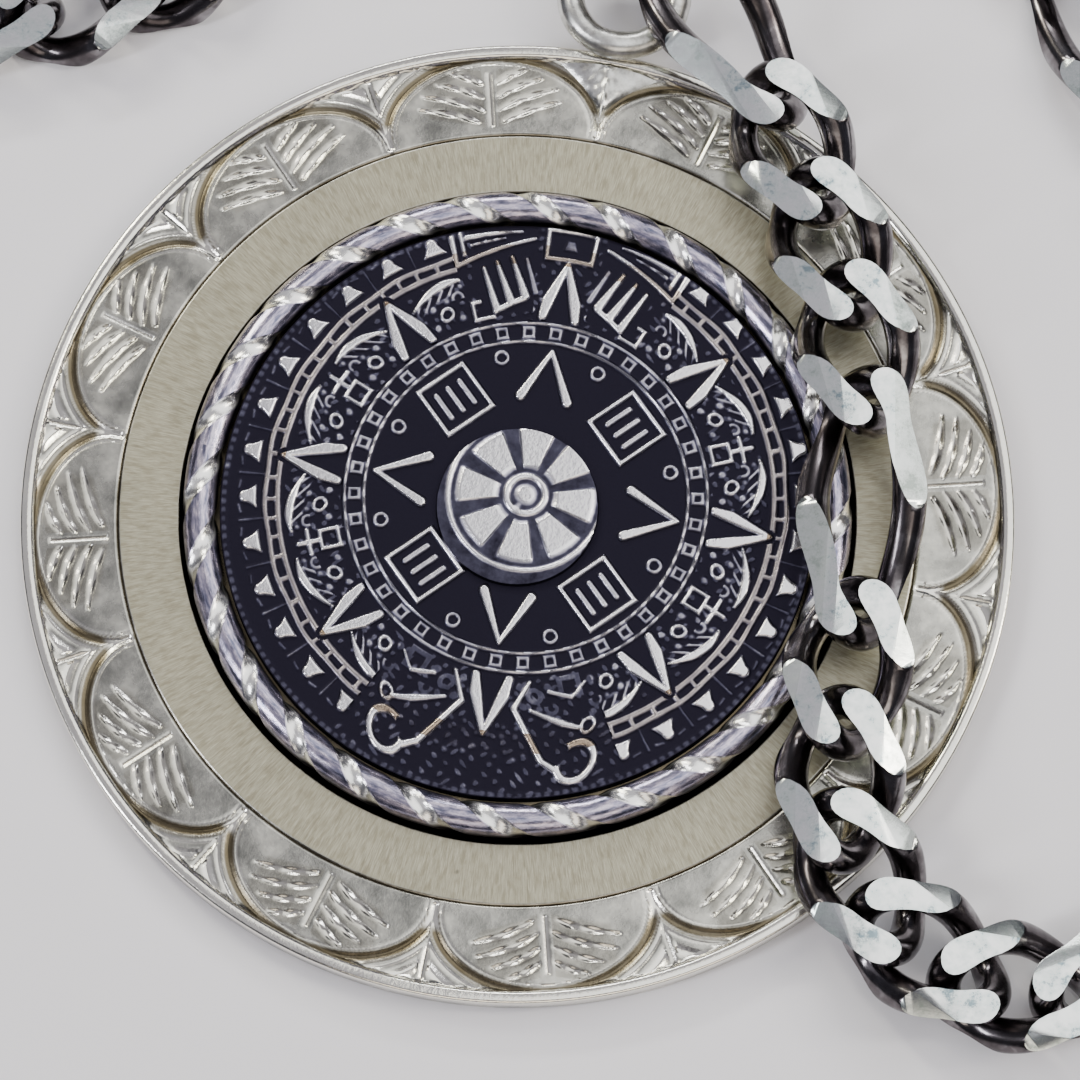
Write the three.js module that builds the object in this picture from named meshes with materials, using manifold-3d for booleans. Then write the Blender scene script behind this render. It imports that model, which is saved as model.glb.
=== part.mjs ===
// Fob chain for a pocket watch: a big silver medallion laid on its back, a heavy Figaro curb chain
// (three short links, then a long one) that leaves its bail, crosses its face and loops round it,
// and a swivel snap for the watch at the chain's far end. Millimetres, +Z up, origin at the centre
// of the medallion's flat back, +Y towards its bail.
import * as THREE from 'three';
import Module from 'manifold-3d';
import { mergeVertices } from 'three/addons/utils/BufferGeometryUtils.js';

const wasm = await Module();
wasm.setup();

// ---- driving dimensions -------------------------------------------------------------------------
const PLATE_R = 33.5;          // medallion, 67 mm across
const PLATE_T = 1.6;           // its sheet
const LIP_W = 0.9;             // raised polished edge
const LIP_H = 0.35;
const BORDER_IN_R = 27.1;      // the engraved border runs from here to the lip
const SCRIBE = 0.3;            // width of the line scribed between border and satin field
const DISC_R = 20.0;           // struck calendar disc, held by the bezel
const DISC_T = 0.95;
const DISC_RIM_H = 0.25;
const SUN_R = 5.6;             // boss in the middle of the disc
const SUN_H = 0.55;
const BEZEL_R = 21.35;         // rope bezel: its middle line, the rope's radius, its slanted cuts
const ROPE_R = 1.15;
const ROPE_CUTS = 28;
const ROPE_FLAT = 0.88;         // each cut lies this share of the radius from the rope's middle
const ROPE_Z = 0.6;             // the rope's middle above the plate's front

const BAIL_Y = 37.4;           // bail ring: centre, radius to its wire's middle, wire radius
const BAIL_RING_R = 3.7;
const BAIL_WIRE_R = 1.05;
const BAIL_GRIP = 75;          // where the jump ring hangs on it, degrees round from +X
const LUG_T = 0.5;             // leaf soldered below the bail

const WIRE = 2.4;              // curb links: wire, width, play between two links
const LINK_W = 8.8;
const PLAY = 0.35;
const SHORT_PITCH = 7.5;
const LONG_PITCH = 14.6;
const LINK_TWIST = -50;        // degrees that each end of a link is twisted from its middle
const FLAT_HALF = 1.8;         // the ground flats lie this far above and below a link's middle
const SLACK_PER_DEG = 0.04;    // links close up by this at a turn sharper than TIGHT_TURN
const TIGHT_TURN = 19;

const RING_WIRE_R = 0.5;        // jump rings at the two ends of the chain: wire, radius to its middle
const BAIL_JUMP_R = 3.72;
const SNAP_JUMP_R = 3.17;
const EYE_R = 1.9;             // swivel eye, its stem and the head that holds it in the barrel
const EYE_WIRE_R = 0.65;
const STEM_R = 0.9;
const STEM_HEAD_R = 1.6;
const BARREL_R = 2.4;          // snap: barrel, hook wire, gate and gate pin
const HOOK_R = 1.1;
const GATE_R = 0.75;
const PIN_R = 0.45;
const RUN = 0.28;              // air round the parts that turn in the snap
const GATE_PIN = [9.9, 2.9];   // where the gate hinges, from the eye's middle
const SNAP_HEIGHT = 2.65;      // the snap's middle above the ground

const DEG = Math.PI / 180;
const UP = new THREE.Vector3(0, 0, 1);

// Each link of the laid chain from the bail on: its heading in degrees round from +X, and the
// links that are long. The others are short.
const HEADINGS = [
  -46, -57, -63, -69, -83, -87, -80, -52, -23, 6, 35, 62, 80, 95, 110, 124, 132, 132, 128, 128,
  140, 156, 176, 196, 214, 229, 240, 224, 206, 194, 190,
];
const LONG_LINKS = [1, 5, 11, 15, 19, 23, 27, 31];
// Heights of the links' joints: over the bail and the bezel first, then down past the edge.
const JOINT_HEIGHTS = [6.0, 5.5, 5.35, 5.35, 5.35, 5.35, 5.35, 4.8, 3.8, 3.0, 2.4, 2.0];
const FLOOR_HEIGHT = FLAT_HALF + 0.1;

// ---- materials ----------------------------------------------------------------------------------
const metal = (color, roughness) => () =>
  new THREE.MeshStandardMaterial({ color, roughness, metalness: 1 });
const polishedSilver = metal(0xdfe4e2, 0.16);
const engravedSilver = metal(0xbdb8a6, 0.36);
const cutSilver = metal(0xd2d1d6, 0.2);
const oxidisedSilver = metal(0x3a3b47, 0.5);
const castSilver = metal(0xc9cac6, 0.34);
const springSteel = metal(0x8d9296, 0.3);

const watchChain = new THREE.Group();
function piece(name, geometry, makeMaterial, parent = watchChain) {
  const mesh = new THREE.Mesh(geometry, makeMaterial());
  mesh.name = name;
  parent.add(mesh);
  return mesh;
}

// ---- solids -------------------------------------------------------------------------------------
function merged(geometry) {
  geometry.deleteAttribute('uv');
  geometry.deleteAttribute('normal');
  return mergeVertices(geometry, 1e-4);
}
function toSolid(geometry) {
  const bare = merged(geometry);
  return new wasm.Manifold(new wasm.Mesh({
    numProp: 3,
    vertProperties: new Float32Array(bare.attributes.position.array),
    triVerts: new Uint32Array(bare.index.array),
  }));
}
function toGeometry(solid) {
  const mesh = solid.getMesh();
  const geometry = new THREE.BufferGeometry();
  geometry.setAttribute('position', new THREE.BufferAttribute(new Float32Array(mesh.vertProperties), 3));
  geometry.setIndex(new THREE.BufferAttribute(new Uint32Array(mesh.triVerts), 1));
  geometry.computeVertexNormals();
  return geometry;
}
// A turned piece about Z: profile points are [radius, height].
function turned(profile, sides) {
  const points = profile.map(([r, h]) => new THREE.Vector2(r, h));
  return new THREE.LatheGeometry(points, sides).rotateX(Math.PI / 2);
}
const rod = (radius, length, sides) =>
  new THREE.CylinderGeometry(radius, radius, length, sides).rotateX(Math.PI / 2);
// A closed bar: shape(s, a) gives the point at share s of the way round, angle a round the bar.
function closedBar(steps, sides, shape) {
  const bar = new THREE.TorusGeometry(2, 1, sides, steps);
  const place = bar.attributes.position;
  for (let j = 0; j <= sides; j += 1) {
    for (let i = 0; i <= steps; i += 1) {
      place.setXYZ(j * (steps + 1) + i, ...shape(i / steps, (2 * Math.PI * j) / sides));
    }
  }
  return merged(bar);
}
// A round wire along a smooth curve, with flat ends.
function wireAlong(points, radius, steps, sides) {
  const section = new THREE.Shape();
  section.absarc(0, 0, radius, 0, 2 * Math.PI);
  const extrudePath = new THREE.CatmullRomCurve3(points.map((p) => new THREE.Vector3(...p)));
  return new THREE.ExtrudeGeometry(section, { steps, extrudePath, bevelEnabled: false, curveSegments: sides });
}

// ---- medallion ----------------------------------------------------------------------------------
const frontZ = PLATE_T;
const lipZ = frontZ + LIP_H;
const lipInR = PLATE_R - LIP_W;
const discZ = frontZ + DISC_T;
piece('medallion_plate', turned([
  [0, 0], [PLATE_R - 0.3, 0], [PLATE_R, 0.3], [PLATE_R, lipZ - 0.25], [PLATE_R - 0.25, lipZ],
  [lipInR + 0.2, lipZ], [lipInR, frontZ], [BORDER_IN_R, frontZ],
  [BORDER_IN_R - SCRIBE / 2, frontZ - SCRIBE / 2], [BORDER_IN_R - SCRIBE, frontZ], [0, frontZ],
], 72), engravedSilver);
piece('calendar_disc', turned([
  [0, frontZ], [DISC_R, frontZ], [DISC_R, discZ + DISC_RIM_H], [DISC_R - 0.5, discZ + DISC_RIM_H],
  [DISC_R - 0.7, discZ], [SUN_R, discZ], [SUN_R - 0.5, discZ + SUN_H], [0, discZ + SUN_H],
], 60), oxidisedSilver);

// The bezel is a round bar with two flats that wind round it, filed level where it is soldered to
// the plate.
piece('rope_bezel', closedBar(ROPE_CUTS * 5, 10, (s, a) => {
  const around = 2 * Math.PI * s;
  const wound = a - (around * ROPE_CUTS) / 2;
  const out = ROPE_R * Math.min(1, ROPE_FLAT / Math.abs(Math.cos(a)));
  const r = BEZEL_R + out * Math.cos(wound);
  const z = Math.max(frontZ, frontZ + ROPE_Z + out * Math.sin(wound));
  return [r * Math.cos(around), r * Math.sin(around), z];
}), cutSilver);

// The bail is a wire ring soldered on top of the lip, with a leaf on the border below it.
const bailZ = lipZ + BAIL_WIRE_R;
const bail = piece('bail_ring', new THREE.TorusGeometry(BAIL_RING_R, BAIL_WIRE_R, 8, 24), castSilver);
bail.position.set(0, BAIL_Y, bailZ);
const leaf = new THREE.Shape();
leaf.moveTo(0, BORDER_IN_R + 0.8);
leaf.quadraticCurveTo(1.2, 30.6, 3.4, lipInR - 0.55);
leaf.quadraticCurveTo(0, lipInR - 0.1, -3.4, lipInR - 0.55);
leaf.quadraticCurveTo(-1.2, 30.6, 0, BORDER_IN_R + 0.8);
const leafSolid = new THREE.ExtrudeGeometry(leaf, { depth: LUG_T, bevelEnabled: false, curveSegments: 6 });
piece('bail_leaf', leafSolid, castSilver).position.z = frontZ;

// ---- curb links ---------------------------------------------------------------------------------
// A link is an oval of wire, twisted from end to end so that it lies flat among its neighbours,
// with its high and low places ground off level. Its upstream joint is at the origin, its length
// runs along +X and its flats face +Z and -Z.
function curbLink(pitch, steps) {
  const length = pitch + 2 * WIRE + PLAY;
  const bend = (LINK_W - WIRE) / 2;
  const side = length - LINK_W;
  const arc = Math.PI * bend;
  const round = 2 * (side + arc);
  return closedBar(steps, 8, (s, a) => {
    const travelled = (s * round + side / 2) % round;
    const half = travelled < side + arc ? 1 : -1;
    const along = travelled % (side + arc);
    const turn = Math.max(0, along - side) / bend;
    const x = half * (Math.min(along, side) - side / 2 + bend * Math.sin(turn));
    const y = half * bend * Math.cos(turn);
    const out = (WIRE / 2) * Math.cos(a);
    const px = x + half * Math.sin(turn) * out;
    const py = y + half * Math.cos(turn) * out;
    const pz = -(WIRE / 2) * Math.sin(a);
    const share = THREE.MathUtils.clamp(px / (length / 2 - WIRE / 2), -1, 1);
    const twist = LINK_TWIST * DEG * Math.sin((share * Math.PI) / 2);
    const level = py * Math.sin(twist) + pz * Math.cos(twist);
    return [
      px + pitch / 2,
      py * Math.cos(twist) - pz * Math.sin(twist),
      THREE.MathUtils.clamp(level, -FLAT_HALF, FLAT_HALF),
    ];
  });
}
const shortLink = curbLink(SHORT_PITCH, 18);
const longLink = curbLink(LONG_PITCH, 22);
const isLong = (n) => LONG_LINKS.includes(n);
const startWire = (WIRE + PLAY) / 2;     // a link's first bend lies this far before its joint

// A frame at a joint: +X along the given direction, +Z as near up as it can be.
function facing(direction) {
  const x = direction.clone().normalize();
  const y = new THREE.Vector3().crossVectors(UP, x).normalize();
  const z = new THREE.Vector3().crossVectors(x, y);
  return new THREE.Quaternion().setFromRotationMatrix(new THREE.Matrix4().makeBasis(x, y, z));
}
// A ring that holds two wires: it starts as the smallest round one with its plane across both, and
// hangs a little larger, turned by lean (degrees) and moved by shift in its own directions.
function ringBetween(name, [gripA, wireA, alongA], [gripB, wireB, alongB], ringR, lean, shift) {
  const x = gripB.clone().sub(gripA);
  const reach = x.length();
  x.normalize();
  const z = alongA.clone().add(alongB);
  z.addScaledVector(x, -z.dot(x)).normalize();
  const y = new THREE.Vector3().crossVectors(z, x);
  const ring = piece(name, new THREE.TorusGeometry(ringR, RING_WIRE_R, 8, 20), polishedSilver);
  ring.quaternion.setFromRotationMatrix(new THREE.Matrix4().makeBasis(x, y, z));
  ring.position.copy(gripA).addScaledVector(x, (reach + wireB - wireA) / 2);
  ring.translateX(shift[0]).translateY(shift[1]).translateZ(shift[2]);
  ring.rotateX(lean[0] * DEG).rotateY(lean[1] * DEG).rotateZ(lean[2] * DEG);
}

// ---- chain --------------------------------------------------------------------------------------
const grip = BAIL_GRIP * DEG;
const bailGrip = new THREE.Vector3(
  BAIL_RING_R * Math.cos(grip), BAIL_Y + BAIL_RING_R * Math.sin(grip), bailZ);
const firstStart = new THREE.Vector3(0.4, 42.5, JOINT_HEIGHTS[0]);   // middle of the first link's first bend
const joint = firstStart.clone();
let lastDirection = null;
HEADINGS.forEach((heading, i) => {
  const n = i + 1;
  const turnBefore = i ? Math.abs(heading - HEADINGS[i - 1]) : 0;
  const turnAfter = Math.abs((HEADINGS[n] ?? heading) - heading);
  const slack = (turn) => SLACK_PER_DEG * Math.max(0, turn - TIGHT_TURN);
  const pitch = isLong(n) ? LONG_PITCH : SHORT_PITCH;
  const span = pitch - slack(turnBefore) - slack(turnAfter);
  const drop = (JOINT_HEIGHTS[n] ?? FLOOR_HEIGHT) - (JOINT_HEIGHTS[i] ?? FLOOR_HEIGHT);
  const flat = Math.sqrt(span * span - drop * drop);
  const direction = new THREE.Vector3(flat * Math.cos(heading * DEG), flat * Math.sin(heading * DEG), drop);
  const unit = direction.clone().normalize();
  if (!i) joint.addScaledVector(unit, startWire);
  const name = `${isLong(n) ? 'long' : 'short'}_link_${String(n).padStart(2, '0')}`;
  const link = piece(name, isLong(n) ? longLink : shortLink, polishedSilver);
  link.quaternion.copy(facing(direction));
  link.position.copy(joint).addScaledVector(unit, -slack(turnBefore));
  joint.add(direction);
  lastDirection = unit;
});

// The way the wire of a link's last bend (or first bend) runs.
function bendAlong(link, atEnd) {
  const a = (atEnd ? LINK_TWIST : -LINK_TWIST) * DEG;
  return new THREE.Vector3(0, Math.cos(a), Math.sin(a)).applyQuaternion(link.quaternion);
}
ringBetween('bail_jump_ring',
  [bailGrip, BAIL_WIRE_R, new THREE.Vector3(Math.sin(grip), -Math.cos(grip), 0)],
  [firstStart, WIRE / 2, bendAlong(watchChain.getObjectByName('long_link_01'), false)],
  BAIL_JUMP_R, [-29, 3, -7], [0.04, -0.3, -0.34]);

// ---- swivel snap --------------------------------------------------------------------------------
// Its eye stands on edge in the end ring. Local +X runs on down the chain from the eye's middle.
const lastLink = watchChain.children.at(-2);
const lastBend = joint.clone().addScaledVector(lastDirection, startWire);
const snapHeading = new THREE.Vector3(lastDirection.x, lastDirection.y, 0).normalize();
const eyeGrip = lastBend.clone().addScaledVector(snapHeading, WIRE / 2 + EYE_WIRE_R + 0.4);
eyeGrip.z = SNAP_HEIGHT;
ringBetween('snap_jump_ring',
  [lastBend, WIRE / 2, bendAlong(lastLink, true)],
  [eyeGrip, EYE_WIRE_R, UP.clone().negate()],
  SNAP_JUMP_R, [6, -11, -1], [0.1, 0.05, 0.03]);

const snap = new THREE.Group();
snap.position.copy(eyeGrip).addScaledVector(snapHeading, EYE_R);
snap.quaternion.copy(facing(snapHeading));
watchChain.add(snap);

const barrelFrom = EYE_R + EYE_WIRE_R + 1.3;
const chamberFrom = barrelFrom + 1.7;
const headT = 0.8;
const chamberTo = chamberFrom + headT + 2 * RUN;
const barrelTo = chamberTo + 1.8;
// Turned profiles are drawn as [radius, distance down the snap].
const alongX = (geometry) => geometry.rotateY(Math.PI / 2);
const eyeLoop = toSolid(new THREE.TorusGeometry(EYE_R, EYE_WIRE_R, 8, 20).rotateX(Math.PI / 2));
const stem = toSolid(alongX(turned([
  [0, EYE_R], [STEM_R, EYE_R], [STEM_R, chamberFrom + RUN], [STEM_HEAD_R, chamberFrom + RUN],
  [STEM_HEAD_R, chamberFrom + RUN + headT], [0, chamberFrom + RUN + headT],
], 16)));
piece('swivel_eye', toGeometry(wasm.Manifold.union([eyeLoop, stem])), castSilver, snap);

const bore = STEM_R + RUN;
const barrel = toSolid(alongX(turned([
  [bore, barrelFrom], [BARREL_R - 0.3, barrelFrom], [BARREL_R, barrelFrom + 0.3],
  [BARREL_R, barrelTo - 0.5], [BARREL_R - 0.5, barrelTo], [0, barrelTo], [0, chamberTo],
  [STEM_HEAD_R + RUN, chamberTo], [STEM_HEAD_R + RUN, chamberFrom], [bore, chamberFrom],
  [bore, barrelFrom],
], 20)));
const hook = toSolid(wireAlong([
  [8.0, -1.2, 0], [9.6, -2.9, 0], [12.2, -4.3, 0], [15.4, -4.5, 0], [18.3, -3.0, 0],
  [19.6, -0.3, 0], [19.2, 2.4, 0], [17.9, 4.1, 0],
], HOOK_R, 16, 10));
// Two cheeks stand off the barrel's end on either side of the gate's knuckle.
const cheek = new THREE.Shape();
cheek.moveTo(7.4, 0.6);
cheek.lineTo(GATE_PIN[0] + 0.9, GATE_PIN[1] - 1.0);
cheek.absarc(...GATE_PIN, 1.3, -0.8, Math.PI * 0.75);
cheek.lineTo(7.4, 2.0);
const cheekT = 0.7;
const cheekSolids = [GATE_R + RUN, -GATE_R - RUN - cheekT].map((z) => toSolid(
  new THREE.ExtrudeGeometry(cheek, { depth: cheekT, bevelEnabled: false, curveSegments: 6 }))
  .translate([0, 0, z]));
const pinLength = 2 * (GATE_R + RUN + cheekT);
const pinHole = toSolid(rod(PIN_R + 0.01, pinLength + 1, 16)).translate([...GATE_PIN, 0]);
const bodySolid = wasm.Manifold.union([barrel, hook, ...cheekSolids]).subtract(pinHole);
piece('snap_body', toGeometry(bodySolid), castSilver, snap);

const gateBar = toSolid(wireAlong([
  [...GATE_PIN, 0], [12.2, 3.5, 0], [14.6, 3.6, 0], [16.6, 3.1, 0],
], GATE_R, 6, 10));
const knuckle = toSolid(rod(GATE_R + 0.1, 2 * GATE_R, 16)).translate([...GATE_PIN, 0]);
const knuckleHole = toSolid(rod(PIN_R + RUN / 2, 4 * GATE_R, 16)).translate([...GATE_PIN, 0]);
const gateSolid = wasm.Manifold.union([gateBar, knuckle]).subtract(knuckleHole);
piece('snap_gate', toGeometry(gateSolid), castSilver, snap);
piece('gate_pin', rod(PIN_R, pinLength, 16), springSteel, snap).position.set(...GATE_PIN, 0);

export default watchChain;
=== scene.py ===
# Fob chain for a pocket watch: an engraved silver medallion with a darkened calendar disc, a heavy
# Figaro curb chain and a swivel snap. Metres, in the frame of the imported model.
import math
import random
import bmesh
import bpy
import numpy as np
from mathutils import Matrix, Vector


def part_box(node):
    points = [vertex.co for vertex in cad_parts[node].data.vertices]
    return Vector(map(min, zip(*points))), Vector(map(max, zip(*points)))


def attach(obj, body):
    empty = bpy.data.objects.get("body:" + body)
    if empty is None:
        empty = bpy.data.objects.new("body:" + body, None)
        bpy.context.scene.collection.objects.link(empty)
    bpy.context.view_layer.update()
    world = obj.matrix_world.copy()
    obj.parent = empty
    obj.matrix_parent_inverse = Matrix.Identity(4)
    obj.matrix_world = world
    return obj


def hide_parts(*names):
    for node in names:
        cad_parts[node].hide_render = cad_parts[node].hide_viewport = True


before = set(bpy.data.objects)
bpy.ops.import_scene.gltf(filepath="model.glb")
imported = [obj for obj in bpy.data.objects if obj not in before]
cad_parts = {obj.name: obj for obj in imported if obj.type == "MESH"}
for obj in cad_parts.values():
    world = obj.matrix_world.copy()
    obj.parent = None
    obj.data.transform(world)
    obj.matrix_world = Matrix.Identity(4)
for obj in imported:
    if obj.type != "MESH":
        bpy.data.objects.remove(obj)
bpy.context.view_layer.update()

# ---- medallion plate ----------------------------------------------------------------------------
# A disc of sterling sheet with a raised polished edge. The border is engraved by hand with twelve
# scallops, each a leaf with its vein and barbs; inside it a plain field is satined with a wire brush.
MM = 0.001
plate_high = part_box("medallion_plate")[1]
PLATE_R = plate_high.x / MM
LIP_Z = plate_high.z / MM
FRONT_Z = 1.6
LIP_IN_R = PLATE_R - 0.9
SCALLOP = math.radians(30)
BORDER_MID_R = 30.0
ARCH_FOOT_R, ARCH_HALF_W, ARCH_H = 27.4, 7.9, 5.35
BARB_PITCH, CUT_DEEP, ENGRAVING_STEP = 1.02, 0.17, 0.09
STEPS = 1440


def ramp(x, low, high):
    """0 at low, 1 at high, smooth between."""
    t = np.clip((x - low) / (high - low), 0.0, 1.0)
    return t * t * (3 - 2 * t)


def groove(distance, half_width):
    """A V cut: 1 on its line, 0 from half_width on."""
    return np.clip(1 - np.abs(distance) / half_width, 0.0, 1.0)


def mesh_object(name, vertices, faces, smooth_below=35, **weights):
    """A mesh object from vertices in millimetres, with a 0 to 1 weight layer for each keyword."""
    mesh = bpy.data.meshes.new(name)
    mesh.from_pydata((np.asarray(vertices, float) * MM).tolist(), [], faces)
    for layer, values in weights.items():
        mesh.attributes.new(layer, "FLOAT", "POINT").data.foreach_set("value", np.asarray(values, np.float32))
    mesh.shade_smooth()
    mesh.set_sharp_from_angle(angle=math.radians(smooth_below))
    piece = bpy.data.objects.new(name, mesh)
    bpy.context.scene.collection.objects.link(piece)
    return piece


def round_grid(radii, heights, steps, **layers):
    """Rings of vertices at the given radii and heights (one value or one for each step), the first
    and last ring closed to a point on the axis."""
    angle = np.arange(steps) * 2 * np.pi / steps
    vertices, values = [], {k: [] for k in layers}
    for i, (r, h) in enumerate(zip(radii, heights)):
        ring_h = np.broadcast_to(h, (steps,))
        vertices.append(np.stack([r * np.cos(angle), r * np.sin(angle), ring_h], 1))
        for k in layers:
            values[k].append(np.broadcast_to(layers[k][i], (steps,)))
    vertices.append(np.array([[0, 0, np.mean(heights[0])], [0, 0, np.mean(heights[-1])]]))
    for k in layers:
        values[k].append([np.mean(layers[k][0]), np.mean(layers[k][-1])])
    count = len(radii)
    i = np.arange(steps)
    j = (i + 1) % steps
    faces = []
    for n in range(count - 1):
        a, b = n * steps, (n + 1) * steps
        faces.extend(np.stack([a + i, b + i, b + j, a + j], 1).tolist())
    top, bottom = count * steps, count * steps + 1
    faces.extend(np.stack([np.full(steps, top), i, j], 1).tolist())
    last = (count - 1) * steps
    faces.extend(np.stack([last + i, np.full(steps, bottom), last + j], 1).tolist())
    return np.concatenate(vertices), faces, {k: np.concatenate(v) for k, v in values.items()}


def engraving(r, angle):
    """Depth of the border's cuts and the tarnish left in them, each 0 to 1, at radius r and angle."""
    s = (np.remainder(angle, SCALLOP) - SCALLOP / 2) * BORDER_MID_R
    reach = np.abs(s)
    # the arch over each scallop, with a fine line on either side
    up = r - ARCH_FOOT_R
    arch = np.hypot(s / ARCH_HALF_W, up / ARCH_H)
    steepness = np.hypot(ARCH_HALF_W * up / ARCH_H, ARCH_H * s / ARCH_HALF_W).clip(2, 9)
    from_arch = (arch - 1) * 42.3 / steepness
    fine_lines = np.maximum(0.5 * groove(from_arch - 0.62, 0.14), 0.4 * groove(from_arch + 0.58, 0.12))
    depth = np.maximum(groove(from_arch, 0.42), fine_lines)
    open_arch = 1 - ramp(-r, -29.4, -28.3)
    dirt = open_arch * np.clip(1.7 * groove(from_arch + 0.04, 0.5), 0, 1)
    dirt = np.maximum(dirt, 0.8 * fine_lines)
    dirt = np.maximum(dirt, 0.8 * groove(np.abs(from_arch) - 0.38, 0.1))
    # the leaf in it: a vein, and four barbs that sweep up to each side
    inside = arch < 0.93
    veined = inside * (r > 27.6) * (r < 31.6)
    depth = np.maximum(depth, 0.6 * groove(s, 0.2) * veined)
    dirt = np.maximum(dirt, 0.55 * groove(s, 0.1) * veined)
    sweep = r - 0.3 * reach - 0.7 * (1 - np.exp(-reach / 1.2))
    for k, (first, longest) in enumerate(((0.8, 5.0), (0.5, 4.6), (0.45, 3.6), (0.4, 2.6))):
        run = np.clip((reach - first) / (longest - first), 0, 1)
        half = 0.12 + 0.24 * np.sin(np.pi * run ** 0.7)
        chop = 0.75 + 0.25 * np.cos(2 * np.pi * (run * 2.5 + 0.37 * k + (s > 0) * 0.5))
        across = np.abs(sweep - 27.35 - BARB_PITCH * k)
        here = (reach > first) * (reach < longest)
        leaf_cut = np.clip(1 - across / half, 0, 1) * here * (arch < 0.95)
        depth = np.maximum(depth, leaf_cut * chop)
        dirt = np.maximum(dirt, 0.5 * groove(across - half, 0.07) * (leaf_cut + here > 0) * inside)
    low = r - 0.3 * reach
    worked = inside * (reach > 0.4) * ramp(-reach, -5.2, -4.2) * ramp(low, 27.0, 27.6) * (low < 31.6)
    dirt = np.maximum(dirt, 0.42 * worked)
    # a short vein and a barb between two arches
    spandrel = (arch > 1.1) & (r < 32.55)
    beside = SCALLOP / 2 * BORDER_MID_R - reach
    short_vein = groove(beside, 0.2) * spandrel * (r > 29.3)
    barb = groove(from_arch - 1.2, 0.3) * spandrel * (beside > 0.3) * (r > 29.6)
    depth = np.maximum(depth, np.maximum(0.7 * short_vein, 0.9 * barb))
    return depth, np.maximum(dirt, 0.4 * groove(beside, 0.1) * spandrel)


angles = np.arange(STEPS) * 2 * np.pi / STEPS
radii, heights, cuts, field, shine = [], [], [], [], []


def add_ring(r, z, dirt=0.0, satin=0.0, bright=0.0):
    """One ring of the plate's section, from the middle of the face to the middle of the back."""
    for values, value in ((radii, r), (heights, z), (cuts, dirt), (field, satin), (shine, bright)):
        values.append(value)


for r in (6.0, 18.0, 21.9):
    add_ring(r, FRONT_Z, 1.0)
# just outside the bezel: value 2 is painted near-black shadow, 0.6 a lighter painted shade at its edge
for r, z, dark in ((22.2, FRONT_Z - 0.1, 2.0), (22.74, FRONT_Z - 0.1, 2.0), (22.84, FRONT_Z, 0.6)):
    add_ring(r, z, dark)
for r in np.linspace(22.92, 26.75, 12):
    add_ring(r, FRONT_Z, 0.0, 1.0)
for r, z, dark in ((26.82, FRONT_Z, 0.3), (26.95, FRONT_Z - 0.14, 1.0), (27.08, FRONT_Z, 0.3)):
    add_ring(r, z, dark)
for r in np.arange(27.2, LIP_IN_R - 0.02, ENGRAVING_STEP):
    cut, dirt = engraving(r, angles)
    rise = 0.3 * ramp(r, LIP_IN_R - 0.35, LIP_IN_R + 0.15)
    z = FRONT_Z - CUT_DEEP * cut * ramp(r, 27.15, 27.4) + rise * (LIP_Z - FRONT_Z)
    clean = 1 - np.clip((dirt - 0.42) * 2.2, 0, 1)
    add_ring(r, z, dirt, 0.0, 0.9 * np.clip(cut * 1.9, 0, 1) * clean)
for r, z in ((LIP_IN_R + 0.02, 0.45), (LIP_IN_R + 0.12, 0.8), (LIP_IN_R + 0.26, 0.97), (LIP_IN_R + 0.42, 1.0)):
    add_ring(r, FRONT_Z + (LIP_Z - FRONT_Z) * z, 0.0, 0.0, 0.9)
for r, z in ((PLATE_R - 0.24, LIP_Z), (PLATE_R - 0.1, LIP_Z - 0.05), (PLATE_R - 0.02, LIP_Z - 0.16),
             (PLATE_R, LIP_Z - 0.35), (PLATE_R, 0.35), (PLATE_R - 0.08, 0.1), (PLATE_R - 0.3, 0.0)):
    add_ring(r, z, 0.0, 0.0, 0.9 * (z > 1))
for r in (32.0, 28.0, 20.0, 8.0):
    add_ring(r, 0.0)
vertices, faces, layers = round_grid(radii, heights, STEPS, dirt=cuts, satin=field, bright=shine)
plate = mesh_object("engraved_plate", vertices, faces, 50, **layers)
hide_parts("medallion_plate")
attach(plate, "medallion")


def linear(hex_colour):
    """sRGB hex to linear RGBA."""
    channels = [int(hex_colour[i:i + 2], 16) / 255 for i in (1, 3, 5)]
    return [c / 12.92 if c <= 0.04045 else ((c + 0.055) / 1.055) ** 2.4 for c in channels] + [1.0]


def node(material, kind, settings=None, links=None, **sockets):
    """Adds a node to the material. Settings are its properties, sockets its input values by name or
    as i1 for the second, and links maps an input to another node's output."""
    made = material.node_tree.nodes.new("ShaderNode" + kind)
    for key, value in (settings or {}).items():
        setattr(made, key, value)
    for key, value in sockets.items():
        numbered = key[0] == "i" and key[1:].isdigit()
        made.inputs[int(key[1:]) if numbered else key.replace("_", " ")].default_value = value
    for key, output in (links or {}).items():
        material.node_tree.links.new(output, made.inputs[key])
    return made


def colour_ramp(material, factor, stops):
    """A colour ramp with [position, hex] stops."""
    made = node(material, "ValToRGB", links={"Fac": factor})
    elements = made.color_ramp.elements
    while len(elements) < len(stops):
        elements.new(0.5)
    for element, (position, hex_colour) in zip(elements, stops):
        element.position = position
        element.color = linear(hex_colour)
    return made.outputs["Color"]


def shaded(name, metallic=1.0, roughness=0.3):
    """A new material with its shader."""
    material = bpy.data.materials.new(name)
    material.use_nodes = True
    shader = material.node_tree.nodes["Principled BSDF"]
    shader.inputs["Metallic"].default_value = metallic
    shader.inputs["Roughness"].default_value = roughness
    return material, shader


def blend_colour(material, factor, a, b, how="MIX"):
    """Colour a turning to colour b by factor; either may be a colour or an output."""
    made = node(material, "Mix", {"data_type": "RGBA", "blend_type": how})
    for socket, value in ((made.inputs[0], factor), (made.inputs[6], a), (made.inputs[7], b)):
        if isinstance(value, bpy.types.NodeSocket):
            material.node_tree.links.new(value, socket)
        else:
            socket.default_value = value
    return made.outputs[2]


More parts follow.
